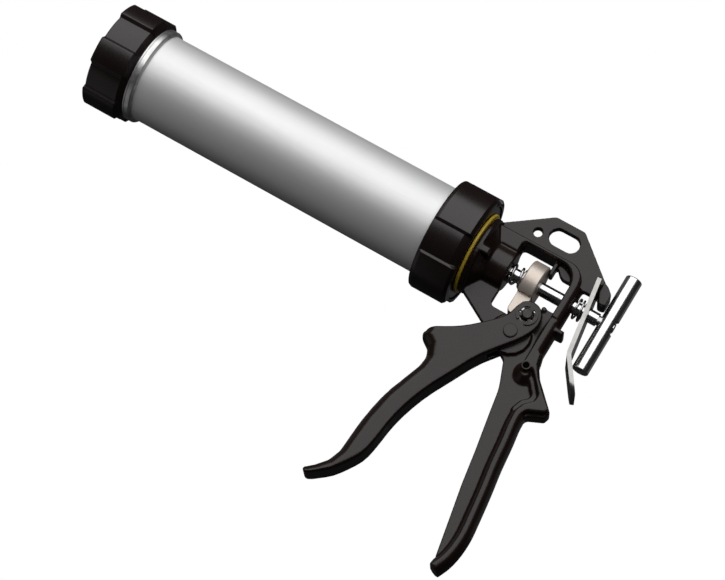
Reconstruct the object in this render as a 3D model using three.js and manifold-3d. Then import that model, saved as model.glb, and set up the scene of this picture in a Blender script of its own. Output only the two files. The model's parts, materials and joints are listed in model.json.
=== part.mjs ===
// Barrel caulking gun: millimetres, +Z up, barrel axis along X with the T-bar at +X.
// Every piece is drawn in gun coordinates, whose X axis is the rod's axis and whose x = 0 is the
// rear edge of the barrel's front bead. The whole gun is then moved so that the hanging slot of
// the handle casting lies at the origin.
import * as THREE from "three";
import { mergeVertices } from "three/addons/utils/BufferGeometryUtils.js";
import Module from "manifold-3d";

const wasm = await Module();
wasm.setup();

// ---- driving dimensions, mm ----
const hangSlot = { x: 260.8, z: 31.7, length: 18.8, height: 11 };
const barrel = { front: -24.2, rear: 205, bore: 26, radius: 27.5, sleeve: 28.6, bead: 30 };
const cap = { front: -30, rear: -5.3, body: 32.1, pad: 34.3, bore: 28.9, mouth: 15, pads: 6 };
const nozzleDisc = { front: -26.2, rear: -24.5, radius: 28.4, hole: 9 };
const nut = { front: 195, rear: 220, body: 34.3, pad: 35.5, mouth: 27.8, bore: 30.5, pads: 4 };
const ring = { front: 219.7, rear: 221.5, inner: 22.6, outer: 26 };
const rod = { front: -21, shoulder: -2, rear: 311.2, radius: 4, thread: 3.4 };
const rodHole = 4.3;
const webHalf = 2.5;
const armHalf = 9.25;
const bossHalf = 4.5;
const column = { front: 277.6, flat: 280.2, rear: 285.2, top: 10.3, bottom: -46 };
const pivot = { x: 262.2, z: -33.4, shank: 2.6, hole: 2.9, head: 4.1 };
const pin = { x: 265.7, z: -20.4, shank: 3.1, hole: 3.4, groove: 2.5, head: 4.6 };
const triggerHalf = 9.8;
const triggerSlotHalf = 4.8;
const triggerHeadSlotHalf = 6.8;
const block = { front: 253, rear: 262.6, radius: 13.4, flat: -9.3, tailHalf: 6.4, tailEnd: -22.9 };
const blockSpring = { front: 243.5, rear: 252.7, radius: 5.8, wire: 1.4, turns: 2.5 };
const catchSpring = { front: 286.3, rear: 290.9, radius: 6.05, wire: 1.3, turns: 2 };
const plateSize = { half: 12.5, thick: 2.6, bend: 6, slotHalf: 3, slotEnd: 9.5, hole: 5 };
const plateLine = [
  [290.6, 19],
  [297.7, -29.3],
  [311.5, -48.7],
];
const tBar = { x: 306.7, radius: 5.1, half: 32, chamfer: 1 };
const piston = {
  nut: [-20, -15.2],
  washer: [-14.9, -13.4],
  frontPlate: [-13.1, -11.1],
  seal: [-10.8, -4.6],
  rearPlate: [-4.3, -2.3],
};
const roundSteps = 48;

// ---- geometry helpers ----

// A closed solid from any geometry, with its faces turned outwards.
function solid(geometry) {
  const bare = geometry.clone();
  bare.deleteAttribute("normal");
  bare.deleteAttribute("uv");
  const merged = mergeVertices(bare, 1e-4);
  const index = merged.index.array;
  const faces = [];
  for (let i = 0; i < index.length; i += 3) {
    const [a, b, c] = [index[i], index[i + 1], index[i + 2]];
    if (a !== b && b !== c && c !== a) faces.push([a, b, c]);
  }
  const vertProperties = merged.attributes.position.array;
  const build = (list) => {
    const triVerts = new Uint32Array(list.flat());
    return new wasm.Manifold(new wasm.Mesh({ numProp: 3, vertProperties, triVerts }));
  };
  const made = build(faces);
  return made.volume() > 0 ? made : build(faces.map(([a, b, c]) => [a, c, b]));
}

// A geometry for a mesh from a solid.
function geometryOf(made) {
  const mesh = made.getMesh();
  const positions = new Float32Array(mesh.numVert * 3);
  for (let i = 0; i < mesh.numVert; i++) {
    positions.set(mesh.vertProperties.subarray(i * mesh.numProp, i * mesh.numProp + 3), i * 3);
  }
  const geometry = new THREE.BufferGeometry();
  geometry.setAttribute("position", new THREE.BufferAttribute(positions, 3));
  geometry.setIndex(new THREE.BufferAttribute(mesh.triVerts, 1));
  geometry.computeVertexNormals();
  return geometry;
}

const join = (solids) => solids.reduce((all, next) => all.add(next));
const cut = (body, tools) => tools.reduce((rest, tool) => rest.subtract(tool), body);

// A body of revolution about the rod axis, from a closed profile of [x, radius] points.
function turned(profile, steps = roundSteps) {
  const points = [...profile, profile[0]].map(([x, r]) => new THREE.Vector2(r, x));
  return solid(new THREE.LatheGeometry(points, steps).rotateZ(-Math.PI / 2));
}

// The same about an axis along Y through (x, z), from a closed profile of [y, radius] points.
function turnedAcross(profile, { x, z }, steps = 28) {
  const points = [...profile, profile[0]].map(([y, r]) => new THREE.Vector2(r, y));
  return solid(new THREE.LatheGeometry(points, steps).translate(x, 0, z));
}

// A closed tube profile between two radii.
const tubeProfile = (from, to, inner, outer) => [
  [from, inner],
  [to, inner],
  [to, outer],
  [from, outer],
];

// A closed outline from corners [u, v, radius]: straight sides, rounded where a radius is given.
function outline(corners) {
  const points = corners.flatMap(([u, v, radius = 0], i) => {
    const at = new THREE.Vector2(u, v);
    if (!radius) return [at];
    const [beforeU, beforeV] = corners.at(i - 1);
    const [afterU, afterV] = corners[(i + 1) % corners.length];
    const before = new THREE.Vector2(beforeU, beforeV).sub(at).normalize();
    const after = new THREE.Vector2(afterU, afterV).sub(at).normalize();
    const half = Math.acos(before.dot(after)) / 2;
    const middle = before.clone().add(after).normalize();
    const centre = at.clone().addScaledVector(middle, radius / Math.sin(half));
    const outwards = middle.clone().negate();
    const sweep = Math.PI / 2 - half;
    const side = Math.sign(before.cross(after));
    const steps = Math.max(2, Math.ceil(sweep / 0.11));
    return Array.from({ length: steps + 1 }, (_, k) => {
      const turn = side * sweep * (1 - (2 * k) / steps);
      const ray = outwards.clone().rotateAround(new THREE.Vector2(), turn);
      return centre.clone().addScaledVector(ray, radius);
    });
  });
  return new THREE.Shape(points);
}

// A closed outline that runs smoothly through points [u, v].
function smoothOutline(points) {
  const shape = new THREE.Shape();
  const all = [...points, points[0]].map(([u, v]) => new THREE.Vector2(u, v));
  shape.moveTo(all[0].x, all[0].y);
  shape.splineThru(all.slice(1));
  return shape;
}

const circle = (u, v, radius) => new THREE.Shape().absarc(u, v, radius, 0, 2 * Math.PI);

// A plate parallel to the XZ plane, centred on y = 0; `edge` rounds its long edges.
function plate(shape, half, edge = { inset: 0, depth: 0 }, curveSegments = 8) {
  const geometry = new THREE.ExtrudeGeometry(shape, {
    depth: 2 * (half - edge.depth),
    bevelEnabled: edge.inset > 0,
    bevelSize: edge.inset,
    bevelOffset: -edge.inset,
    bevelThickness: edge.depth,
    bevelSegments: 3,
    curveSegments,
  });
  return solid(geometry.rotateX(Math.PI / 2).translate(0, half - edge.depth, 0));
}

// A prism along X from an outline of [y, z] points.
function alongX(shape, from, to) {
  const geometry = new THREE.ExtrudeGeometry(shape, {
    depth: to - from,
    bevelEnabled: false,
    curveSegments: 10,
  });
  const turn = new THREE.Matrix4().makeBasis(
    new THREE.Vector3(0, 1, 0),
    new THREE.Vector3(0, 0, 1),
    new THREE.Vector3(1, 0, 0),
  );
  return solid(geometry.applyMatrix4(turn).translate(from, 0, 0));
}

// A prism along Z from an outline of [x, y] points.
function alongZ(shape, from, to) {
  const geometry = new THREE.ExtrudeGeometry(shape, {
    depth: to - from,
    bevelEnabled: false,
    curveSegments: 10,
  });
  return solid(geometry.translate(0, 0, from));
}

// A box between two corners.
function box([x0, y0, z0], [x1, y1, z1]) {
  const geometry = new THREE.BoxGeometry(x1 - x0, y1 - y0, z1 - z0);
  return solid(geometry.translate((x0 + x1) / 2, (y0 + y1) / 2, (z0 + z1) / 2));
}

// Wedges about the rod axis, each `span` degrees wide, the first centred on `start` degrees.
function wedges(count, span, start, reach, from, to) {
  const solids = [];
  for (let i = 0; i < count; i++) {
    const middle = THREE.MathUtils.degToRad(start + (i * 360) / count);
    const half = THREE.MathUtils.degToRad(span / 2);
    const rays = [-half, -half / 2, 0, half / 2, half].map((turn) => [
      reach * Math.cos(middle + turn),
      reach * Math.sin(middle + turn),
    ]);
    solids.push(alongX(outline([[0, 0], ...rays]), from, to));
  }
  return join(solids);
}

// A round-wire compression spring about the rod axis, with flat closed end turns.
function spring({ front, rear, radius, wire, turns }) {
  class SpringLine extends THREE.Curve {
    getPoint(t, target = new THREE.Vector3()) {
      const angle = t * turns * 2 * Math.PI;
      const rise = THREE.MathUtils.smoothstep(t, 0.5 / turns, 1 - 0.5 / turns);
      const x = THREE.MathUtils.lerp(front + wire / 2, rear - wire / 2, rise);
      return target.set(x, radius * Math.cos(angle), radius * Math.sin(angle));
    }
  }
  const section = new THREE.Shape().absarc(0, 0, wire / 2, 0, 2 * Math.PI);
  return new THREE.ExtrudeGeometry(section, {
    steps: Math.round(turns * 18),
    curveSegments: 4,
    extrudePath: new SpringLine(),
  });
}

// The round bore that the casting and the drive block are given for the rod.
const rodBore = () => turned([[200, 0], [200, rodHole], [320, rodHole], [320, 0]], 32);

// ---- the handle casting ----

function castingHub() {
  const profile = [
    [203, rodHole],
    [203, 25],
    [203.6, 25.6],
    [205.4, 25.6],
    [205.4, 30.2],
    [219.4, 30.2],
    [219.4, 22.3],
    [221.8, 22.3],
    [221.8, 24],
    [225, 24],
    [225.4, 21],
    [231, 12.6],
    [242.4, 12.6],
    [243.2, 11.8],
    [243.2, rodHole],
  ];
  return turned(profile);
}

function castingWeb() {
  const side = outline([
    [223, 22.8],
    [225, 24.3],
    [249.5, 42.3, 2.5],
    [268.7, 42.3, 2.5],
    [295, 20.2],
    [297, 10.3],
    [282, 10.3],
    [282, -46],
    [296, -60],
    [291, -68],
    [290.5, -85],
    [296, -118],
    [299, -148],
    [297, -164],
    [293.6, -169],
    [291.1, -165.3],
    [286, -139.1],
    [282.7, -122.6],
    [279.4, -102, 60],
    [275.3, -79.6, 60],
    [272.6, -64, 30],
    [266.4, -48.4, 3],
    [245, -35, 30],
    [226.3, -24.5],
    [223, -22.8],
  ]);
  return plate(side, webHalf);
}

function castingWindow() {
  const side = outline([
    [243.2, 17.9],
    [243.2, -23.4, 2.5],
    [256, -23.4],
    [256, -26, 1],
    [270.5, -26],
    [270.5, -9.8],
    [277.3, -9.8],
    [277.3, 10.3],
    [270.3, 10.3, 6],
    [263.4, 17.9],
  ]);
  return plate(side, armHalf + 5);
}

function castingArm() {
  const side = outline([
    [224.5, 20.3],
    [281.8, 20.3, 9.8],
    [281.8, 1],
    [277.6, 1],
    [277.6, 17.9, 11],
    [241.8, 17.9, 2.5],
    [241.8, 10.3],
    [224.5, 10.3],
  ]);
  return plate(side, armHalf, { inset: 0.7, depth: 0.7 }, 10);
}

function castingColumn() {
  const plan = new THREE.Shape();
  plan.moveTo(column.front, -armHalf);
  plan.lineTo(column.flat, -armHalf);
  plan.absellipse(column.flat, 0, column.rear - column.flat, armHalf, -Math.PI / 2, Math.PI / 2);
  plan.lineTo(column.front, armHalf);
  return alongZ(plan, column.bottom, column.top);
}

// The handle bar: a ridge on each side of the web, drafted towards the front and rounded behind.
function castingBar() {
  const ridge = 1;
  const rearArc = Array.from({ length: 13 }, (_, i) => {
    const turn = THREE.MathUtils.degToRad(-90 + i * 15);
    return [ridge + 4.5 * Math.cos(turn), armHalf * Math.sin(turn)];
  });
  const section = [[-3.8, -webHalf], [-ridge, -armHalf], ...rearArc, [-ridge, armHalf], [-3.8, webHalf]];
  const line = [
    [289.2, -73],
    [289.4, -79],
    [290.9, -90],
    [292.5, -105],
    [294.9, -121],
    [296.9, -137],
    [298, -148],
    [297.6, -157.5],
    [295.9, -165.5],
    [292.9, -172.4],
  ].map(([x, z]) => new THREE.Vector3(x, 0, z));
  const bar = solid(new THREE.ExtrudeGeometry(
    new THREE.Shape(section.map(([across, y]) => new THREE.Vector2(y, -across))),
    { steps: 30, extrudePath: new THREE.CatmullRomCurve3(line) },
  ));
  return cut(bar, [box([280, -12, -180], [290.9, 12, -166])]);
}

// The horn above the bar: its near faces carry the column's strip on to the nose and down again.
function castingHorn() {
  const ridge = outline([
    [288.6, -78],
    [291.4, -78],
    [291.3, -74.4],
    [293.5, -69.6, 3],
    [302.6, -65.6, 1.4],
    [304.4, -62.8, 1.4],
    [295.6, -54.8],
    [289.8, -49.3],
    [285.6, -43],
    [284, -36],
    [281, -36],
    [281, -43],
    [283.9, -46.6],
    [288.2, -50.5],
    [294.6, -58.4, 1.5],
    [294.3, -62.2, 1.5],
    [290, -66.4],
    [287.8, -71.8],
  ]);
  const foot = outline([
    [288.6, -78],
    [293.2, -78],
    [293.4, -75.6],
    [295, -71.6, 3],
    [304.2, -67.4, 1.8],
    [305.5, -63.4, 1.6],
    [296.6, -54.6],
    [290.8, -49],
    [286.6, -42.7],
    [285.2, -36],
    [278, -36],
    [277.6, -44],
    [279, -50],
    [284.5, -51.5],
    [291.2, -59.4, 1.5],
    [290.6, -61.4, 1.5],
    [287.2, -64.6],
    [285, -71],
  ]);
  return [plate(ridge, armHalf, { inset: 0.6, depth: 1.6 }), plate(foot, 5.5)];
}

function castingLugs() {
  const upper = outline([
    [290, 18.5],
    [293.2, 20.4],
    [297, 18.6, 4],
    [300.9, 15, 3],
    [300.9, 7, 1.6],
    [296.4, 6.6, 1.5],
    [293.2, 13],
  ]);
  const upperLug = cut(plate(upper, 6.3, { inset: 0.6, depth: 0.6 }), [
    box([286, -8, 0], [293.2, -webHalf, 25]),
    box([286, webHalf, 0], [293.2, 8, 25]),
  ]);
  const shelf = outline([
    [283, -8],
    [288.8, -8, 1.6],
    [288.8, 8, 1.6],
    [283, 8],
  ]);
  return [upperLug, alongZ(shelf, -20.8, -17.9)];
}

// Bosses and lugs that stand on the web: the pivot boss, the stop peg behind the block, the
// bump on the lower ledge, the side ribs behind the hub, and a small screw boss on the column.
function castingBosses() {
  const rivetBoss = cut(plate(circle(pivot.x, pivot.z, 12.3), bossHalf), [
    plate(outline([[240, -23.4], [256, -23.4], [256, -26], [290, -26], [290, 0], [240, 0]]), 12),
  ]);
  const screwBoss = plate(circle(280, -46.5, 3), armHalf + 0.2);
  const bossFoot = turnedAcross([
    [-7, 0],
    [-7, 2.6],
    [-webHalf, 6.8],
    [webHalf, 6.8],
    [7, 2.6],
    [7, 0],
  ], { x: 281, z: -49.5 });
  return [
    rivetBoss,
    screwBoss,
    bossFoot,
    plate(outline([[262.9, 18], [262.9, 8.7, 0.6], [265.3, 8.7, 0.6], [265.3, 18]]), bossHalf),
    plate(circle(271.3, -10.6, 1.6), webHalf + 1),
    box([224, -23.4, -4.6], [230.4, 23.4, 0]),
    box([224, -2.6, -20], [231, 2.6, 20]),
  ];
}

function castingCuts() {
  const half = hangSlot.height / 2;
  const reach = hangSlot.length / 2;
  const slot = outline([
    [hangSlot.x - reach, hangSlot.z - half, half - 0.01],
    [hangSlot.x + reach, hangSlot.z - half, half - 0.01],
    [hangSlot.x + reach, hangSlot.z + half, half - 0.01],
    [hangSlot.x - reach, hangSlot.z + half, half - 0.01],
  ]);
  const sideNotch = (side) => {
    const inner = side * (armHalf - 0.6);
    const outer = side * (armHalf + 1);
    const [low, high] = [Math.min(inner, outer), Math.max(inner, outer)];
    return box([276, low, -15.5], [286, high, -13.5]);
  };
  return [
    plate(slot, 12),
    plate(circle(245, 28.6, 2.7), 12),
    plate(circle(280, -46.5, 1.75), 12),
    plate(circle(pivot.x, pivot.z, pivot.hole), 12),
    rodBore(),
    sideNotch(1),
    sideNotch(-1),
  ];
}

function handleCasting() {
  const web = cut(castingWeb(), [castingWindow()]);
  const body = join([
    castingHub(),
    web,
    castingArm(),
    castingColumn(),
    castingBar(),
    ...castingHorn(),
    ...castingLugs(),
    ...castingBosses(),
  ]);
  return cut(body, castingCuts());
}

// ---- the barrel and its two rings ----

function barrelTube() {
  const { front, rear, bore, radius, sleeve, bead } = barrel;
  return turned([
    [front, bore],
    [rear, bore],
    [rear, radius],
    [202.4, radius],
    [202, bead - 0.9],
    [201.3, bead],
    [199.7, bead],
    [199, bead - 0.9],
    [198.6, radius],
    [0.6, radius],
    [-0.1, radius + 0.6],
    [-0.6, bead - 0.6],
    [-1.2, bead],
    [-4.2, bead],
    [-4.9, bead - 0.6],
    [-5, sleeve],
    [front + 0.8, sleeve],
    [front, sleeve - 0.8],
  ], 60);
}

function frontCap() {
  const { front, rear, body, pad, bore, mouth, pads } = cap;
  const shell = turned([
    [front, mouth],
    [front + 3.5, mouth],
    [front + 3.5, bore],
    [rear - 0.6, bore],
    [rear - 0.6, 30.2],
    [rear - 2.2, body],
    [front + 1.2, body],
    [front, body - 1.2],
  ], 60);
  const padRing = turned([
    [front - 0.5, 29.5],
    [rear, 29.5],
    [rear, 30.4],
    [rear - 2.7, pad],
    [front + 0.9, pad],
    [front - 0.1, pad - 0.4],
    [front - 0.5, pad - 1.4],
  ], 60);
  return shell.add(padRing.intersect(wedges(pads, 29, 20.4, 40, front - 2, rear + 2)));
}

const nozzlePlate = () =>
  turned(tubeProfile(nozzleDisc.front, nozzleDisc.rear, nozzleDisc.hole, nozzleDisc.radius));

function rearRingNut() {
  const { front, rear, body, pad, mouth, bore, pads } = nut;
  const shell = turned([
    [front, mouth],
    [198.4, mouth],
    [198.4, bore],
    [rear, bore],
    [rear, 31.1],
    [215, body],
    [front + 1.6, body],
    [front, body - 1.6],
  ], 60);
  const padRing = turned([
    [196.4, 33],
    [216, 32.6],
    [219.6, 31.4],
    [219.6, 33.9],
    [218, pad],
    [197.6, pad],
    [196.4, pad - 1.2],
  ], 60);
  return shell.add(padRing.intersect(wedges(pads, 56, 68.05, 42, front, rear)));
}

const hubRing = () => turned(tubeProfile(ring.front, ring.rear, ring.inner, ring.outer));

// ---- trigger group ----

function trigger() {
  const side = smoothOutline([
    [256.8, -21.5],
    [255.4, -25.5],
    [250.5, -31.6],
    [240, -41.5],
    [232, -47.3],
    [223.5, -52.2],
    [219.8, -55.4],
    [219.4, -59],
    [221.9, -61.5],
    [225.6, -64.2],
    [227.9, -69.5],
    [227.2, -76],
    [223.5, -86.5],
    [219, -100],
    [216, -117],
    [215, -130],
    [214.4, -141],
    [211.6, -148.8],
    [206.5, -155],
    [203, -158.2],
    [202.5, -161.4],
    [205.4, -162.4],
    [211, -158.4],
    [217.3, -152.8],
    [223, -144.8],
    [227.4, -136.6],
    [229.4, -127],
    [231, -113],
    [234, -100],
    [239, -86],
    [246, -71.8],
    [254, -56],
    [263, -43.8],
    [269.5, -35.2],
    [273.6, -27.4],
    [274.8, -20.4],
    [272.1, -14],
    [265.7, -11.3],
    [259.4, -14],
  ]);
  const slot = plate(outline([
    [232, -8],
    [238, -33],
    [250, -41.5, 4],
    [257, -51],
    [263, -60],
    [287, -60],
    [287, -8],
  ]), triggerSlotHalf);
  const headSlot = plate(outline([[240, -5], [240, -27], [290, -27], [290, -5]]), triggerHeadSlotHalf);
  return cut(plate(side, triggerHalf, { inset: 1.3, depth: 2.2 }, 2), [
    slot,
    headSlot,
    plate(circle(pivot.x, pivot.z, pivot.hole), 12),
    plate(circle(pin.x, pin.z, pin.hole), 12),
  ]);
}

function pivotRivet() {
  const { shank, head } = pivot;
  return turnedAcross([
    [-11.1, 0],
    [-11.1, head - 0.4],
    [-10.8, head],
    [-10.1, head],
    [-10.1, shank],
    [10.1, shank],
    [10.1, head],
    [10.8, head],
    [11.1, head - 0.4],
    [11.1, 0],
  ], pivot);
}

function drivePin() {
  const { shank, groove, head } = pin;
  return turnedAcross([
    [-12.2, 0],
    [-12.2, shank - 0.5],
    [-11.7, shank],
    [-11.2, shank],
    [-11.2, groove],
    [-9.8, groove],
    [-9.8, shank],
    [10.1, shank],
    [10.1, head],
    [11, head],
    [11.4, head - 0.4],
    [11.4, 0],
  ], pin);
}

// An open retaining clip: a hoop with a gap towards the pivot, and three tongues on the pin.
function eClip() {
  const angle = (degrees) => THREE.MathUtils.degToRad(degrees);
  const hoop = new THREE.Shape();
  hoop.absarc(pin.x, pin.z, 6.5, angle(-80), angle(235));
  hoop.absarc(pin.x, pin.z, 4.7, angle(235), angle(-80), true);
  hoop.closePath();
  const tongue = (degrees, width) => {
    const out = [Math.cos(angle(degrees)), Math.sin(angle(degrees))];
    const side = [-out[1] * width, out[0] * width];
    const at = (radius, sign) => [
      pin.x + radius * out[0] + sign * side[0],
      pin.z + radius * out[1] + sign * side[1],
    ];
    return outline([at(2.85, 1), at(2.85, -1), at(5.4, -1), at(5.4, 1)]);
  };
  const clip = join([
    plate(hoop, 0.4, undefined, 12),
    plate(tongue(80, 1.3), 0.4),
    plate(tongue(205, 1), 0.4),
    plate(tongue(-45, 1), 0.4),
  ]);
  return clip.translate(0, -10.5, 0);
}

function driveBlock() {
  const { front, rear, radius, flat, tailHalf, tailEnd } = block;
  const disc = turned([
    [front, 0],
    [rear, 0],
    [rear, radius - 0.7],
    [rear - 0.7, radius],
    [front + 0.7, radius],
    [front, radius - 0.7],
  ]);
  const aboveFlat = disc.intersect(box([front - 1, -20, flat], [rear + 1, 20, 20]));
  const tail = plate(outline([
    [front + 0.3, -6],
    [front + 0.3, tailEnd, 2.6],
    [rear - 0.3, tailEnd, 0.8],
    [rear - 0.3, -6],
  ]), tailHalf, { inset: 0.5, depth: 0.5 });
  return cut(aboveFlat.add(tail), [rodBore()]);
}

// ---- catch plate, rod, T-bar and piston ----

function catchPlate() {
  const { half, thick, bend, slotHalf, slotEnd, hole } = plateSize;
  const line = plateLine.map(([x, z]) => new THREE.Vector2(x, z));
  const upper = line[1].clone().sub(line[0]).normalize();
  const lower = line[2].clone().sub(line[1]).normalize();
  const normal = (along) => new THREE.Vector2(-along.y, along.x);
  const corner = normal(upper).add(normal(lower)).normalize();
  const reach = thick / 2 / corner.dot(normal(upper));
  const offset = (at, along, amount) => at.clone().addScaledVector(along, amount).toArray();
  const side = outline([
    offset(line[0], normal(upper), thick / 2),
    [...offset(line[1], corner, reach), bend],
    offset(line[2], normal(lower), thick / 2),
    offset(line[2], normal(lower), -thick / 2),
    [...offset(line[1], corner, -reach), bend + thick],
    offset(line[0], normal(upper), -thick / 2),
  ]);
  const face = outline([
    [-half, -50.4, 8],
    [half, -50.4, 8],
    [half, 20, 2],
    [-half, 20, 2],
  ]);
  const bent = plate(side, half).intersect(alongX(face, 280, 320));
  const rodOpening = solid(
    new THREE.CylinderGeometry(hole, hole, 30, 40)
      .rotateZ(-Math.PI / 2)
      .rotateY(Math.atan2(-upper.x, -upper.y))
      .translate(line[0].x + (line[0].y * upper.x) / -upper.y, 0, 0),
  );
  return cut(bent, [rodOpening, box([280, -slotHalf, slotEnd], [300, slotHalf, 30])]);
}

function pushRod() {
  const { front, shoulder, rear, radius, thread } = rod;
  return turned([
    [front, 0],
    [front, thread - 0.5],
    [front + 0.6, thread],
    [shoulder, thread],
    [shoulder, radius],
    [300.5, radius],
    [300.5, 3],
    [rear - 0.6, 3],
    [rear, 2.4],
    [rear, 0],
  ], 32);
}

function tBarPiece() {
  const { x, radius, half, chamfer } = tBar;
  const profile = [
    [0, -half],
    [radius - chamfer, -half],
    [radius, -half + chamfer],
    [radius, half - chamfer],
    [radius - chamfer, half],
    [0, half],
  ].map(([r, z]) => new THREE.Vector2(r, z));
  const bar = solid(new THREE.LatheGeometry(profile, 40).rotateX(Math.PI / 2).translate(x, 0, 0));
  return cut(bar, [
    turned([[295, 0], [295, 3.3], [320, 3.3], [320, 0]], 32),
    turned([[310.5, 0], [310.5, 4.2], [320, 4.2], [320, 0]], 32),
  ]);
}

const pistonDisc = ([from, to], inner, outer) => turned(tubeProfile(from, to, inner, outer));

function pistonSeal() {
  const [from, to] = piston.seal;
  return turned([
    [from, 3.7],
    [to, 3.7],
    [to, 24.4],
    [to - 1, 25.4],
    [from, 25.6],
    [from, 22.6],
    [from + 2.4, 21.8],
    [from + 2.4, 18],
    [from, 17],
  ]);
}

function pistonNut() {
  const [from, to] = piston.nut;
  const reach = 6.5 / Math.cos(Math.PI / 6);
  const corners = [0, 1, 2, 3, 4, 5].map((i) => [
    reach * Math.cos((i * Math.PI) / 3),
    reach * Math.sin((i * Math.PI) / 3),
  ]);
  return cut(alongX(outline(corners), from, to), [
    turned([[from - 1, 0], [from - 1, 3.7], [to + 1, 3.7], [to + 1, 0]], 32),
  ]);
}

// ---- materials and assembly ----

const finish = (color, roughness, metalness) => ({ color, roughness, metalness });
const charcoal = finish(0x3a3938, 0.5, 0.1);
const blackPlastic = finish(0x1d1d1e, 0.45, 0);
const aluminium = finish(0xb9bcbf, 0.35, 0.9);
const plated = finish(0xc9cacb, 0.22, 0.95);
const darkSteel = finish(0x4a4948, 0.4, 0.7);
const springSteel = finish(0x9a9ca0, 0.3, 0.9);
const beige = finish(0xd8cdbf, 0.5, 0);
const yellow = finish(0xb9992f, 0.5, 0);
const sealRubber = finish(0x202020, 0.8, 0);

const pieces = [
  ["handle_casting", charcoal, () => geometryOf(handleCasting())],
  ["barrel_tube", aluminium, () => geometryOf(barrelTube())],
  ["front_cap", blackPlastic, () => geometryOf(frontCap())],
  ["nozzle_plate", blackPlastic, () => geometryOf(nozzlePlate())],
  ["rear_ring_nut", blackPlastic, () => geometryOf(rearRingNut())],
  ["hub_ring", yellow, () => geometryOf(hubRing())],
  ["trigger", charcoal, () => geometryOf(trigger())],
  ["pivot_rivet", darkSteel, () => geometryOf(pivotRivet())],
  ["drive_pin", darkSteel, () => geometryOf(drivePin())],
  ["e_clip", darkSteel, () => geometryOf(eClip())],
  ["drive_block", beige, () => geometryOf(driveBlock())],
  ["block_spring", springSteel, () => spring(blockSpring)],
  ["catch_plate", plated, () => geometryOf(catchPlate())],
  ["catch_spring", springSteel, () => spring(catchSpring)],
  ["push_rod", plated, () => geometryOf(pushRod())],
  ["t_bar", plated, () => geometryOf(tBarPiece())],
  ["piston_nut", plated, () => geometryOf(pistonNut())],
  ["piston_washer", plated, () => geometryOf(pistonDisc(piston.washer, 3.7, 9))],
  ["piston_front_plate", plated, () => geometryOf(pistonDisc(piston.frontPlate, 3.7, 17))],
  ["piston_seal", sealRubber, () => geometryOf(pistonSeal())],
  ["piston_rear_plate", plated, () => geometryOf(pistonDisc(piston.rearPlate, 3.7, 24))],
];

function gun() {
  const group = new THREE.Group();
  group.name = "caulking_gun";
  for (const [name, material, build] of pieces) {
    const mesh = new THREE.Mesh(build(), new THREE.MeshStandardMaterial(material));
    mesh.name = name;
    mesh.position.set(-hangSlot.x, 0, -hangSlot.z);
    group.add(mesh);
  }
  return group;
}

export default gun();
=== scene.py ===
import bpy, bmesh, json, math
import numpy as np
from mathutils import Matrix, Vector


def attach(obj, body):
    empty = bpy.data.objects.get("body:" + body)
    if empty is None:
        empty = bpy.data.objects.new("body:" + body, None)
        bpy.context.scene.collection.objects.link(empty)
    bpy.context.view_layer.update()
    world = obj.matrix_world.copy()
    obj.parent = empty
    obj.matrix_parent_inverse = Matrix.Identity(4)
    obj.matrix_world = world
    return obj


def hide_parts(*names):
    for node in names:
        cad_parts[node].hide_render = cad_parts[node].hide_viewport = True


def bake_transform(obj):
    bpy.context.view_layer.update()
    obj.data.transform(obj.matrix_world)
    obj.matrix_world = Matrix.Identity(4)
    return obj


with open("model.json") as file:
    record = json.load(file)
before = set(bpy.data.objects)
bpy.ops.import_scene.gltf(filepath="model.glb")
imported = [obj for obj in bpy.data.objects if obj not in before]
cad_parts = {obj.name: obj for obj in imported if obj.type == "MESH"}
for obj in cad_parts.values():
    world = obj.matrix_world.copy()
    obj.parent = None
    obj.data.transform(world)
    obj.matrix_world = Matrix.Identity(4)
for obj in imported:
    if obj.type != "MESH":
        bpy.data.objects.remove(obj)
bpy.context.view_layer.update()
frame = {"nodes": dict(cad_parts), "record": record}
print("frame loaded", len(frame["nodes"]), "nodes")

mm = 0.001
slotAt = np.array([260.8, 0.0, 31.7])  # the hanging slot, in gun millimetres: the row's origin


def toRow(points):
    # gun millimetres to row metres: subtract the slot's place and scale
    return (np.asarray(points, float) - slotAt) * mm


# shared mesh helpers

def meshFrom(name, verts, faces, body):
    # vertices in row metres and faces as index tuples become one object that rides on a body
    data = bpy.data.meshes.new(name)
    data.from_pydata(np.asarray(verts, float).tolist(), [], [list(f) for f in faces])
    data.polygons.foreach_set("use_smooth", [True] * len(data.polygons))
    data.update()
    obj = bpy.data.objects.new(name, data)
    bpy.context.scene.collection.objects.link(obj)
    if body:
        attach(obj, body)
    return obj


def gridFaces(rows, cols, closed=False):
    # quads of a grid of points whose rows are rings; with `closed` the last row also joins the first
    rr, cc = np.meshgrid(np.arange(rows if closed else rows - 1), np.arange(cols), indexing="ij")
    r2, c2 = (rr + 1) % rows, (cc + 1) % cols
    quads = [rr * cols + cc, rr * cols + c2, r2 * cols + c2, r2 * cols + cc]
    return np.stack(quads, -1).reshape(-1, 4)


def roundedProfile(corners, steps=5):
    # each corner (x, r, fillet) becomes an arc of steps + 1 points that touches both sides
    p = np.array([c[:2] for c in corners], float)
    fillet = np.array([c[2] for c in corners], float)
    before, after = np.roll(p, 1, 0) - p, np.roll(p, -1, 0) - p
    lb, la = np.linalg.norm(before, axis=1), np.linalg.norm(after, axis=1)
    ub, ua = before / lb[:, None], after / la[:, None]
    half = np.arccos(np.clip((ub * ua).sum(1), -1, 1)) / 2
    cut = np.minimum(fillet / np.tan(np.maximum(half, 0.05)), 0.49 * np.minimum(lb, la))
    t = np.linspace(0, 1, steps + 1)
    a, b = p + ub * cut[:, None], p + ua * cut[:, None]
    k = t[None, :, None]
    arc = (1 - k) ** 2 * a[:, None] + 2 * k * (1 - k) * p[:, None] + k ** 2 * b[:, None]
    return arc.reshape(-1, 2)


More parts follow.
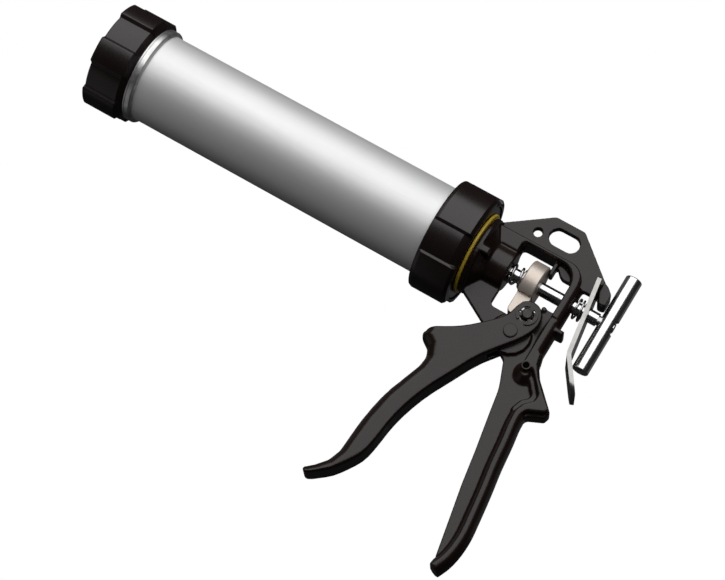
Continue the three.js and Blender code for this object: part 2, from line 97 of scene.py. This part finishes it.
def turnedPiece(name, loop, body, segments, wobble=None, closed=True):
    # a surface of revolution about the rod's axis: point (x, r) goes to (x, -r cos t, r sin t); `wobble` may
    # change x and r with t
    loop = np.asarray(loop, float)
    t = np.linspace(0, 2 * np.pi, segments, endpoint=False)
    x = np.repeat(loop[:, :1], segments, 1)
    r = np.repeat(loop[:, 1:2], segments, 1)
    if wobble is not None:
        x, r = wobble(x, r, t[None, :])
    verts = np.stack([x, -r * np.cos(t), r * np.sin(t)], -1).reshape(-1, 3)
    faces = gridFaces(len(loop), segments, closed)
    return fixNormals(meshFrom(name, toRow(verts), faces, body))


def fixNormals(obj):
    # doubles merged, then every face turned outwards
    bm = bmesh.new()
    bm.from_mesh(obj.data)
    bmesh.ops.remove_doubles(bm, verts=bm.verts, dist=2e-6)
    bmesh.ops.dissolve_degenerate(bm, edges=bm.edges, dist=1e-7)
    bmesh.ops.recalc_face_normals(bm, faces=bm.faces)
    bm.to_mesh(obj.data)
    bm.free()
    return obj


def tubeAlong(name, path, radius, sides, body):
    # circles of one radius carried along a path, in frames turned from the rod's axis, closed at both ends
    path = np.asarray(path, float)
    tangent = np.gradient(path, axis=0)
    tangent /= np.linalg.norm(tangent, axis=1)[:, None]
    side = np.cross(tangent, [1.0, 0, 0])
    side /= np.linalg.norm(side, axis=1)[:, None]
    up = np.cross(side, tangent)
    a = np.linspace(0, 2 * np.pi, sides, endpoint=False)
    across, along = np.cos(a)[None, :, None], np.sin(a)[None, :, None]
    verts = (path[:, None] + radius * (across * side[:, None] + along * up[:, None])).reshape(-1, 3)
    faces = gridFaces(len(path), sides).tolist()
    faces += [list(range(sides)), [len(verts) - 1 - i for i in range(sides)]]
    return fixNormals(meshFrom(name, toRow(verts), faces, body))


def nodeCopy(node, name, body):
    # a CAD node's mesh as a new object, its doubles merged and its stored normals cleared
    obj = bpy.data.objects.new(name, frame["nodes"][node].data.copy())
    obj.data.name = name
    obj.data.materials.clear()
    bpy.context.scene.collection.objects.link(obj)
    bm = bmesh.new()
    bm.from_mesh(obj.data)
    bmesh.ops.remove_doubles(bm, verts=bm.verts, dist=1e-6)
    bm.to_mesh(obj.data)
    bm.free()
    if obj.data.has_custom_normals:
        with bpy.context.temp_override(object=obj, active_object=obj):
            bpy.ops.mesh.customdata_custom_splitnormals_clear()
    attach(obj, body)
    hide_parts(node)
    return obj


def applyModifiers(obj):
    # the mesh with its modifiers worked in takes the place of the object's own
    graph = bpy.context.evaluated_depsgraph_get()
    made = bpy.data.meshes.new_from_object(obj.evaluated_get(graph))
    obj.modifiers.clear()
    obj.data = made
    return obj


def castSkin(obj, s):
    # the solid rebuilt as an even skin of small faces, relaxed so that edges and corners take a cast radius
    remesh = obj.modifiers.new("skin", "REMESH")
    remesh.mode = "VOXEL"
    remesh.voxel_size = s["voxel"] * mm
    relax = obj.modifiers.new("relax", "SMOOTH")
    relax.factor, relax.iterations = s["smoothing"], s["rounds"]
    applyModifiers(obj)
    obj.data.polygons.foreach_set("use_smooth", [True] * len(obj.data.polygons))
    return obj


def softEdges(obj, width, s):
    # a small rounded edge wherever two faces meet at more than the angle, the flats keeping their own normals
    bevel = obj.modifiers.new("edge", "BEVEL")
    bevel.width, bevel.segments = width * mm, s["segments"]
    bevel.limit_method, bevel.angle_limit = "ANGLE", math.radians(s["angle"])
    bevel.use_clamp_overlap = True
    obj.data.polygons.foreach_set("use_smooth", [True] * len(obj.data.polygons))
    obj.modifiers.new("flats", "WEIGHTED_NORMAL").weight = s["flatWeight"]
    applyModifiers(obj)
    return obj


# surfaces

bands = {"tone": (0.35, 0.65), "grain": (0.3, 0.7), "raised": (0.53, 0.60), "patch": (0.5, 0.6)}


def surface(name, look):
    # colour = base mixed towards a second tone by soft noise, then towards a worn tone on raised edges and,
    # in patches within a radius, towards bare metal; roughness follows a finer noise, and bump adds that
    # finer noise to a broader one
    mat = bpy.data.materials.new(name)
    mat.use_nodes = True
    tree = mat.node_tree
    nodes, link = tree.nodes, tree.links.new
    shader = nodes["Principled BSDF"]
    where = nodes.new("ShaderNodeTexCoord").outputs["Object"]
    stretch = nodes.new("ShaderNodeMapping")
    stretch.inputs["Scale"].default_value = look.get("stretch", (1, 1, 1))
    link(where, stretch.inputs["Vector"])

    def noise(scale, detail, rough=0.55, stretched=True):
        n = nodes.new("ShaderNodeTexNoise")
        n.inputs["Scale"].default_value = scale
        n.inputs["Detail"].default_value = detail
        n.inputs["Roughness"].default_value = rough
        link(stretch.outputs["Vector"] if stretched else where, n.inputs["Vector"])
        return n.outputs["Fac"]

    def remap(value, low, high, toLow, toHigh):
        n = nodes.new("ShaderNodeMapRange")
        for k, v in (("From Min", low), ("From Max", high), ("To Min", toLow), ("To Max", toHigh)):
            n.inputs[k].default_value = v
        link(value, n.inputs["Value"])
        return n.outputs["Result"]

    def mixColour(factor, first, second):
        n = nodes.new("ShaderNodeMix")
        n.data_type = "RGBA"
        link(factor, n.inputs[0])
        for socket, value in ((n.inputs[6], first), (n.inputs[7], second)):
            if isinstance(value, tuple):
                socket.default_value = (*value, 1)
            else:
                link(value, socket)
        return n.outputs[2]

    def vectorMath(operation, first, second=(0, 0, 0)):
        n = nodes.new("ShaderNodeVectorMath")
        n.operation = operation
        link(first, n.inputs[0])
        n.inputs[1].default_value = second
        return n.outputs

    def bareMask(bare):
        # 1 in patches nearer to the pin's axis than the radius, and 0 elsewhere
        flat = vectorMath("MULTIPLY", vectorMath("SUBTRACT", where, bare["centre"])[0], (1, 0, 1))[0]
        reach = bare["radius"] * mm
        near = remap(vectorMath("LENGTH", flat)["Value"], reach, reach * 1.03, 1, 0)
        patchy = nodes.new("ShaderNodeMath")
        patchy.operation = "MULTIPLY"
        link(near, patchy.inputs[0])
        link(remap(noise(bare["patches"], 2), *bands["patch"], 0, 1), patchy.inputs[1])
        return patchy.outputs[0]

    tone = remap(noise(look["toneScale"], 4, 0.6, False), *bands["tone"], 0, 1)
    colour = mixColour(tone, look["base"], look["second"])
    if look.get("wear"):
        edge = nodes.new("ShaderNodeNewGeometry").outputs["Pointiness"]
        worn = remap(edge, *bands["raised"], 0, look["wear"])
        colour = mixColour(worn, colour, look["wornTone"])
    if look.get("bare"):
        bare = bareMask(look["bare"])
        colour = mixColour(bare, colour, look["bare"]["tone"])
        link(bare, shader.inputs["Metallic"])
    link(colour, shader.inputs["Base Color"])
    grain = noise(look["grainScale"], 5, 0.6)
    link(remap(grain, *bands["grain"], *look["roughness"]), shader.inputs["Roughness"])
    shader.inputs["Metallic"].default_value = look.get("metallic", 0.0)
    shader.inputs["Specular IOR Level"].default_value = look.get("specular", 0.5)
    fine = nodes.new("ShaderNodeBump")
    fine.inputs["Distance"].default_value = look["bump"] * mm
    fine.inputs["Strength"].default_value = 1.0
    link(grain, fine.inputs["Height"])
    broad = nodes.new("ShaderNodeBump")
    broad.inputs["Distance"].default_value = look.get("waveDepth", 0.05) * mm
    broad.inputs["Strength"].default_value = look.get("wave", 0.3)
    link(noise(look.get("waveScale", 60), 2), broad.inputs["Height"])
    link(fine.outputs["Normal"], broad.inputs["Normal"])
    link(broad.outputs["Normal"], shader.inputs["Normal"])
    return mat


finishes = {
    "powderCoat": {
        "base": (0.0110, 0.0052, 0.0042), "second": (0.0140, 0.0075, 0.0062), "toneScale": 90,
        "grainScale": 1500, "roughness": (0.25, 0.32), "specular": 0.4, "bump": 0.004, "wave": 0.2,
        "waveDepth": 0.03, "waveScale": 260, "wear": 0.5, "wornTone": (0.03, 0.028, 0.027)},
    "satinTube": {
        "base": (0.82, 0.82, 0.825), "second": (0.85, 0.85, 0.855), "toneScale": 18, "grainScale": 900,
        "stretch": (0.02, 1, 1), "roughness": (0.57, 0.63), "metallic": 0.68, "bump": 0.002, "wave": 0.1,
        "waveDepth": 0.02, "waveScale": 120},
    "polishedBead": {
        "base": (0.50, 0.495, 0.49), "second": (0.78, 0.78, 0.78), "toneScale": 110, "grainScale": 700,
        "roughness": (0.30, 0.42), "metallic": 0.95, "bump": 0.004, "wave": 0.3, "waveDepth": 0.03,
        "waveScale": 220},
    "mouldedBlack": {
        "base": (0.0085, 0.0042, 0.0038), "second": (0.0115, 0.0065, 0.0062), "toneScale": 60,
        "grainScale": 2200, "roughness": (0.24, 0.34), "bump": 0.006, "wave": 0.2, "waveDepth": 0.04,
        "waveScale": 90, "wear": 0.4, "wornTone": (0.03, 0.03, 0.03)},
    "mouldedYellow": {
        "base": (0.80, 0.56, 0.06), "second": (0.70, 0.48, 0.05), "toneScale": 80, "grainScale": 1800,
        "roughness": (0.40, 0.5), "bump": 0.006},
    "darkSteel": {
        "base": (0.012, 0.0075, 0.006), "second": (0.018, 0.012, 0.010), "toneScale": 300, "grainScale": 1200,
        "roughness": (0.26, 0.36), "specular": 0.42, "bump": 0.004, "wear": 0.4,
        "wornTone": (0.05, 0.047, 0.045)},
    "satinBlock": {
        "base": (0.60, 0.52, 0.455), "second": (0.64, 0.565, 0.50), "toneScale": 120, "grainScale": 1300,
        "roughness": (0.38, 0.46), "metallic": 0.6, "bump": 0.003},
    "shearedPlate": {
        "base": (0.33, 0.325, 0.315), "second": (0.39, 0.385, 0.375), "toneScale": 200, "grainScale": 1100,
        "roughness": (0.26, 0.36), "metallic": 1.0, "bump": 0.003},
    "springWire": {
        "base": (0.55, 0.55, 0.56), "second": (0.47, 0.47, 0.48), "toneScale": 400, "grainScale": 1500,
        "roughness": (0.2, 0.3), "metallic": 1.0, "bump": 0.002},
    "brightPlate": {
        "base": (0.72, 0.72, 0.72), "second": (0.64, 0.645, 0.65), "toneScale": 70, "grainScale": 1400,
        "roughness": (0.15, 0.24), "metallic": 1.0, "bump": 0.0015, "wave": 0.12, "waveDepth": 0.02,
        "waveScale": 150},
    "sealRubber": {
        "base": (0.014, 0.014, 0.014), "second": (0.022, 0.022, 0.022), "toneScale": 70, "grainScale": 900,
        "roughness": (0.6, 0.75), "bump": 0.01},
}
# the trigger's coat is worn through in patches round the drive pin
pinAt = np.array([265.7, 0.0, -20.4])
pinWear = {"centre": tuple((pinAt - slotAt) * mm), "radius": 4.7, "patches": 420, "tone": (0.62, 0.6, 0.58)}
finishes["wornCoat"] = dict(finishes["powderCoat"], bare=pinWear)
looks = {name: surface(name, look) for name, look in finishes.items()}
slotLook = {"casting": "powderCoat", "tube": "satinTube", "black_plastic": "mouldedBlack",
            "yellow_plastic": "mouldedYellow", "dark_steel": "darkSteel", "beige_block": "satinBlock",
            "spring_steel": "springWire", "plated_steel": "brightPlate", "seal_rubber": "sealRubber"}
slotOf = {s["node"]: s["material_slot"] for s in frame["record"]["subparts"]}
print("materials made", len(looks))


def dress(obj, slot, look=None):
    # the finish of a material slot, or one given by name
    obj.data.materials.clear()
    obj.data.materials.append(looks[look or slotLook[slot]])
    return obj


for nodeName, nodeObject in frame["nodes"].items():
    dress(nodeObject, slotOf[nodeName])


# the barrel: a tube with a bead rolled near each end and a threaded sleeve in front, whose thread is left out
tubeShape = {"bore": 26, "outer": 27.5, "sleeve": 28.6, "bead": 30.0, "front": -24.2, "rear": 205,
             "frontBead": -5.0, "frontBeadEnd": 0.5, "groove": -3.75, "rearBead": 198, "rearBeadEnd": 203,
             "polishedTo": 0.45}


def makeBarrel(s):
    bead, outer, sleeve = s["bead"], s["outer"], s["sleeve"]
    first, last = s["rearBead"], s["rearBeadEnd"]
    back, front, groove = s["frontBeadEnd"], s["frontBead"], s["groove"]
    loop = roundedProfile([
        (s["front"], s["bore"], 0.4), (s["rear"], s["bore"], 0.4), (s["rear"], outer, 0.4),
        (last, outer, 1.2), (last - 1.4, bead, 1.1), (first + 1.4, bead, 1.1), (first, outer, 1.2),
        (back, outer, 0.8), (back - 1, bead, 1.0), (groove + 0.25, bead, 0.3), (groove, bead - 0.35, 0.15),
        (groove - 0.25, bead, 0.3), (front + 0.1, bead, 0.4), (front, sleeve, 0.1),
        (s["front"] + 0.6, sleeve, 0.3), (s["front"], sleeve - 0.6, 0.3)], 8)
    obj = turnedPiece("barrelShell", loop, "frame", 256)
    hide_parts("barrel_tube")
    dress(obj, "tube")
    # rolling has polished everything in front of the bead's rear edge
    obj.data.materials.append(looks["polishedBead"])
    centres = np.array([face.center[0] for face in obj.data.polygons]) / mm + slotAt[0]
    obj.data.polygons.foreach_set("material_index", (centres < s["polishedTo"]).astype(int))


makeBarrel(tubeShape)


# both rings carry raised pads: `count` of them, `span` degrees wide, one of them centred at `centre` degrees
capShape = {"front": -30, "rear": -5.3, "body": 32.1, "pad": 34.3, "bore": 28.9, "mouth": 15, "wall": 3.5,
            "count": 6, "centre": -20.4, "span": 28.6, "edge": 3.4}
nutShape = {"front": 195, "rear": 220, "body": 34.3, "pad": 35.5, "mouth": 27.8, "bore": 30.5, "wall": 3.4,
            "shoulder": 215, "padEnd": 218, "rim": 31.1, "count": 4, "centre": 21.95, "span": 55.5,
            "edge": 2.1}


def padMask(t, s):
    # 1 on each pad and 0 between, with a slope of `edge` degrees at its sides that eases a little at its ends
    pitch = 360 / s["count"]
    away = np.abs((np.degrees(t) - s["centre"] + pitch / 2) % pitch - pitch / 2)
    k = np.clip((s["span"] / 2 + s["edge"] / 2 - away) / s["edge"], 0, 1)
    return 0.8 * k + 0.2 * k * k * (3 - 2 * k)


def paddedRing(name, plain, raised, s, body, slot, node):
    # two profiles of revolution, one between the pads and one on them, mixed round the axis by the pad mask
    low, high = np.asarray(plain, float), np.asarray(raised, float)

    def mixPads(x, r, t):
        m = padMask(t, s)
        return x + (high[:, :1] - low[:, :1]) * m, r + (high[:, 1:2] - low[:, 1:2]) * m

    obj = turnedPiece(name, low, body, 720, mixPads)
    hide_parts(node)
    dress(obj, slot)


def makeCap(s):
    f, r, floorAt = s["front"], s["rear"], s["front"] + s["wall"]
    inside = [(r, s["bore"], 0.2), (floorAt, s["bore"], 0.5), (floorAt, s["mouth"], 0.3),
              (f, s["mouth"], 0.5)]
    plain = roundedProfile(inside + [(f, s["body"], 1.3), (r - 3.3, s["body"], 0.4), (r, 29.5, 0.2)], 6)
    raised = roundedProfile(inside + [(f - 0.5, s["pad"], 1.3), (r - 2.9, s["pad"], 0.4), (r, 29.6, 0.2)], 6)
    paddedRing("capShell", plain, raised, s, "cap", "black_plastic", "front_cap")


def makeNut(s):
    f, r, floorAt = s["front"], s["rear"], s["front"] + s["wall"]
    inside = [(r, s["bore"], 0.3), (floorAt, s["bore"], 0.3), (floorAt, s["mouth"], 0.3),
              (f, s["mouth"], 0.5), (f, s["body"], 1.4)]
    plain = roundedProfile(inside + [(f + 2, s["body"], 0.1), (s["shoulder"], s["body"], 0.5),
                                     (s["padEnd"], 32.5, 0.1), (r, s["rim"], 0.3)], 6)
    raised = roundedProfile(inside + [(f + 2.6, s["pad"], 0.7), (s["padEnd"], s["pad"], 0.5),
                                      (r - 0.4, 33.9, 0.3), (r, s["rim"], 0.3)], 6)
    paddedRing("nutShell", plain, raised, s, "nut", "black_plastic", "rear_ring_nut")


makeCap(capShape)
makeNut(nutShape)
print("barrel, cap and nut made")


def makeHubRing(s):
    loop = roundedProfile([(s["front"], s["inner"], 0.2), (s["rear"], s["inner"], 0.2),
                           (s["rear"], s["outer"], s["round"]), (s["front"], s["outer"], s["round"])], 8)
    obj = turnedPiece("hubRingBand", loop, "frame", 128)
    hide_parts("hub_ring")
    dress(obj, "yellow_plastic")


makeHubRing({"front": 219.7, "rear": 221.5, "inner": 22.6, "outer": 25.7, "round": 0.85})


def makeRod(s):
    # thinner at the front, where the piston sits, and at the rear, where the T-bar sits
    nose, neckAt, stubAt, stub = s["nose"], s["neckAt"], s["stubAt"], s["stub"]
    line = roundedProfile([(s["front"], 0, 0), (s["front"], nose, 0.5), (neckAt, nose, 0),
                           (neckAt, s["radius"], 0.3), (stubAt, s["radius"], 0.1), (stubAt, stub, 0),
                           (s["rear"], stub, 0.6), (s["rear"], 0, 0)], 5)
    obj = turnedPiece("rodBar", line, "rod", 48, closed=False)
    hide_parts("push_rod")
    dress(obj, "plated_steel")


makeRod({"front": -21, "rear": 311.2, "radius": 4, "nose": 3.4, "neckAt": -2, "stubAt": 300.5, "stub": 3})


def makeTBar(s):
    # an upright bar whose point at (turn, height) is r(height) from its axis, cut flat behind the rod's end
    h, c, r0 = s["half"], s["chamfer"], s["radius"]
    flat = np.linspace(-s["flatHalf"], s["flatHalf"], 9)
    z = np.unique(np.concatenate([np.linspace(-h + c, h - c, 61), flat, flat[[0, -1]] + [-0.5, 0.5]]))
    r = np.full(z.shape, r0)
    k = np.linspace(0, np.pi / 2, 7)
    zEnd, rEnd = h - c + c * np.sin(k), r0 - c + c * np.cos(k)
    z = np.concatenate([[-h], -zEnd[::-1], z[1:-1], zEnd, [h]])
    r = np.concatenate([[0], rEnd[::-1], r[1:-1], rEnd, [0]])
    t = np.linspace(0, 2 * np.pi, 96, endpoint=False)
    x = r[:, None] * np.cos(t)
    y = r[:, None] * np.sin(t)
    depth = np.clip((s["flatHalf"] + 0.5 - np.abs(z)) / 0.5, 0, 1)[:, None]
    x = np.where(x > r0 - s["flatDepth"] * depth, r0 - s["flatDepth"] * depth, x)
    verts = np.stack([x + s["x"], y, np.repeat(z[:, None], len(t), 1)], -1).reshape(-1, 3)
    obj = fixNormals(meshFrom("tBarGrip", toRow(verts), gridFaces(len(z), len(t)), "rod"))
    obj.data.set_sharp_from_angle(angle=math.radians(35))
    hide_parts("t_bar")
    dress(obj, "plated_steel")


makeTBar({"x": 306.7, "radius": 5.1, "half": 32, "chamfer": 1.0, "flatHalf": 4.2, "flatDepth": 1.3})


# `phase` is the part of a turn at which the wire starts
blockSpring = {"front": 243.5, "rear": 252.7, "radius": 5.5, "wire": 1.7, "turns": 3.0, "phase": 0.6}
catchSpring = {"front": 286.3, "rear": 290.9, "radius": 6.05, "wire": 1.3, "turns": 2.0, "phase": 0.2}


def makeSpring(name, s, node):
    # a helix about the rod whose rise starts and ends flat, so that both ends are closed
    u = np.linspace(0, 1, int(s["turns"] * 64))
    e = 0.5 / s["turns"]
    k = np.clip((u - e) / (1 - 2 * e), 0, 1)
    rise = k * k * (3 - 2 * k)
    a = 2 * np.pi * (s["turns"] * u + s["phase"])
    x = s["front"] + s["wire"] / 2 + (s["rear"] - s["front"] - s["wire"]) * rise
    path = np.stack([x, s["radius"] * np.cos(a), s["radius"] * np.sin(a)], -1)
    obj = tubeAlong(name, path, s["wire"] / 2, 14, None)
    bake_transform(obj)
    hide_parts(node)
    dress(obj, "spring_steel")


makeSpring("blockSpringWire", blockSpring, "block_spring")
makeSpring("catchSpringWire", catchSpring, "catch_spring")
print("rod, T-bar and springs made")

# the casting and the trigger are rebuilt from their CAD solids; `voxel` is the size of the skin's faces

castingShape = {"voxel": 0.62, "smoothing": 0.5, "rounds": 6}
triggerShape = {"voxel": 0.5, "smoothing": 0.5, "rounds": 4}
casting = castSkin(nodeCopy("handle_casting", "castingSkin", "frame"), castingShape)
dress(casting, "casting")
triggerSkin = castSkin(nodeCopy("trigger", "triggerSkin", "trigger"), triggerShape)
# the side of the trigger that the fingers pull, from its hook to its tip, and how far its rounding reaches
fingerLine = {"reach": 6.5, "line": [
    (219.8, -55.4), (219.4, -59), (221.9, -61.5), (225.6, -64.2), (227.9, -69.5), (227.2, -76),
    (223.5, -86.5), (219, -100), (216, -117), (215, -130), (214.4, -141), (211.6, -148.8), (206.5, -155),
    (203, -158.2)]}


def roundFinger(obj, s):
    # near the finger side the half width follows a quarter ellipse of the distance from that side
    flat = np.empty(len(obj.data.vertices) * 3)
    obj.data.vertices.foreach_get("co", flat)
    p = flat.reshape(-1, 3) / mm + slotAt
    line = np.array(s["line"], float)
    a, b = line[:-1], line[1:]
    q = p[:, None, [0, 2]]
    t = np.clip(((q - a) * (b - a)).sum(-1) / ((b - a) ** 2).sum(-1), 0, 1)
    away = np.linalg.norm(q - (a + t[..., None] * (b - a)), axis=-1).min(1)
    k = np.clip(1 - away / s["reach"], 0, 1)
    keep = np.sqrt(np.clip(1 - k ** 2 * 0.9, 0, 1))
    p[:, 1] *= keep
    obj.data.vertices.foreach_set("co", toRow(p).ravel())
    obj.data.update()


roundFinger(triggerSkin, fingerLine)
dress(triggerSkin, "casting", "wornCoat")
print("cast skins made", len(casting.data.polygons), len(triggerSkin.data.polygons))

# small fittings keep their CAD shape with softened edges `edge` wide

edgeShape = {"angle": 32, "segments": 3, "flatWeight": 90}
fittings = [
    {"node": "pivot_rivet", "name": "pivotRivetHead", "body": "frame", "slot": "dark_steel", "edge": 0.25},
    {"node": "drive_pin", "name": "drivePinBar", "body": "trigger", "slot": "dark_steel", "edge": 0.25},
    {"node": "e_clip", "name": "retainingClip", "body": "trigger", "slot": "dark_steel", "edge": 0.15},
    {"node": "drive_block", "name": "driveBlockSkin", "body": "block", "slot": "beige_block", "edge": 0.4},
    {"node": "catch_plate", "name": "catchPlateSkin", "body": "catch", "slot": "plated_steel", "edge": 0.35,
     "look": "shearedPlate"},
]
for f in fittings:
    fitting = softEdges(nodeCopy(f["node"], f["name"], f["body"]), f["edge"], edgeShape)
    dress(fitting, f["slot"], f.get("look"))
print("fittings made")


cameraShape = {"at": (458.973, -1298.320, -414.023), "lens": 118.91,
               "right": (0.85433162, 0.04233814, 0.51800093), "down": (0.47716147, 0.33114063, -0.81404104),
               "forward": (-0.20599614, 0.94263109, 0.26270178)}


def makeCamera(s):
    # the camera's axes are given directly: right, up and backwards
    data = bpy.data.cameras.new("view")
    data.lens, data.sensor_width, data.clip_end = s["lens"], 36, 20
    cam = bpy.data.objects.new("view", data)
    bpy.context.scene.collection.objects.link(cam)
    axes = np.stack([s["right"], -np.array(s["down"]), -np.array(s["forward"])], 1)
    turn = Matrix(axes.tolist()).to_4x4()
    cam.matrix_world = Matrix.Translation(toRow(s["at"]).tolist()) @ turn
    bpy.context.scene.camera = cam


def makeWorld(s):
    # white where the camera looks past the gun, and elsewhere a dim studio, `below` to `above` by height
    world = bpy.data.worlds.new("studio")
    bpy.context.scene.world = world
    world.use_nodes = True
    nodes, link = world.node_tree.nodes, world.node_tree.links.new
    back = nodes["Background"]
    back.inputs["Color"].default_value = (*s["room"], 1)
    height = nodes.new("ShaderNodeSeparateXYZ")
    link(nodes.new("ShaderNodeTexCoord").outputs["Generated"], height.inputs[0])
    level = nodes.new("ShaderNodeMapRange")
    for k, v in (("From Min", -0.25), ("From Max", 0.1), ("To Min", s["below"]), ("To Max", s["above"])):
        level.inputs[k].default_value = v
    link(height.outputs["Z"], level.inputs["Value"])
    link(level.outputs[0], back.inputs["Strength"])
    white = nodes.new("ShaderNodeBackground")
    white.inputs["Color"].default_value = (1, 1, 1, 1)
    mix = nodes.new("ShaderNodeMixShader")
    link(nodes.new("ShaderNodeLightPath").outputs["Is Camera Ray"], mix.inputs[0])
    link(back.outputs[0], mix.inputs[1])
    link(white.outputs[0], mix.inputs[2])
    link(mix.outputs[0], nodes["World Output"].inputs["Surface"])


def makeLight(name, s):
    # a soft rectangle at azimuth and elevation round the gun's middle, facing it
    az, el = math.radians(s["azimuth"]), math.radians(s["elevation"])
    middle = Vector(toRow([190, 0, -20]).tolist())
    out = Vector((math.sin(az) * math.cos(el), -math.cos(az) * math.cos(el), math.sin(el)))
    data = bpy.data.lights.new(name, "AREA")
    data.shape, data.size, data.size_y = "RECTANGLE", s["width"], s["height"]
    data.energy = s["power"]
    lamp = bpy.data.objects.new(name, data)
    bpy.context.scene.collection.objects.link(lamp)
    lamp.location = middle + out * s["distance"]
    lamp.rotation_euler = (-out).to_track_quat("-Z", "Y").to_euler()
    lamp.visible_camera = False


makeCamera(cameraShape)
makeWorld({"room": (1, 1, 1), "below": 0.02, "above": 0.02})
lights = {
    "mainBox": {"azimuth": -13, "elevation": 31, "distance": 1.5, "width": 2.73, "height": 2.1, "power": 33},
    "rearCard": {"azimuth": 145, "elevation": 24, "distance": 1.5, "width": 2, "height": 0.8, "power": 0.42},
    "leftCard": {"azimuth": -115, "elevation": 12, "distance": 1.5, "width": 2.2, "height": 0.8,
                 "power": 0.5},
    "lowCard": {"azimuth": -95, "elevation": -52, "distance": 1.3, "width": 1.2, "height": 1.2, "power": 0.8},
}
for lightName, lightShape in lights.items():
    makeLight(lightName, lightShape)
bpy.context.scene.view_settings.view_transform = "Standard"


def makeFloor(s):
    # a pale square below the gun that lights up a little by itself and throws nothing back at the gun
    w, z = s["half"], s["level"]
    corners = [(-w, -w, z), (w, -w, z), (w, w, z), (-w, w, z)]
    floor = meshFrom("paleFloor", corners, [(0, 1, 2, 3)], None)
    floor.visible_diffuse = floor.visible_glossy = floor.visible_shadow = False
    ground = bpy.data.materials.new("paleGround")
    ground.use_nodes = True
    shader = ground.node_tree.nodes["Principled BSDF"]
    shader.inputs["Base Color"].default_value = (*s["tone"], 1)
    shader.inputs["Roughness"].default_value = s["roughness"]
    shader.inputs["Emission Color"].default_value = (1, 1, 1, 1)
    shader.inputs["Emission Strength"].default_value = s["glow"]
    floor.data.materials.append(ground)


makeFloor({"half": 6.0, "level": -0.62, "tone": (0.8, 0.8, 0.8), "roughness": 0.7, "glow": 0.6})
print("camera, lights and floor made")
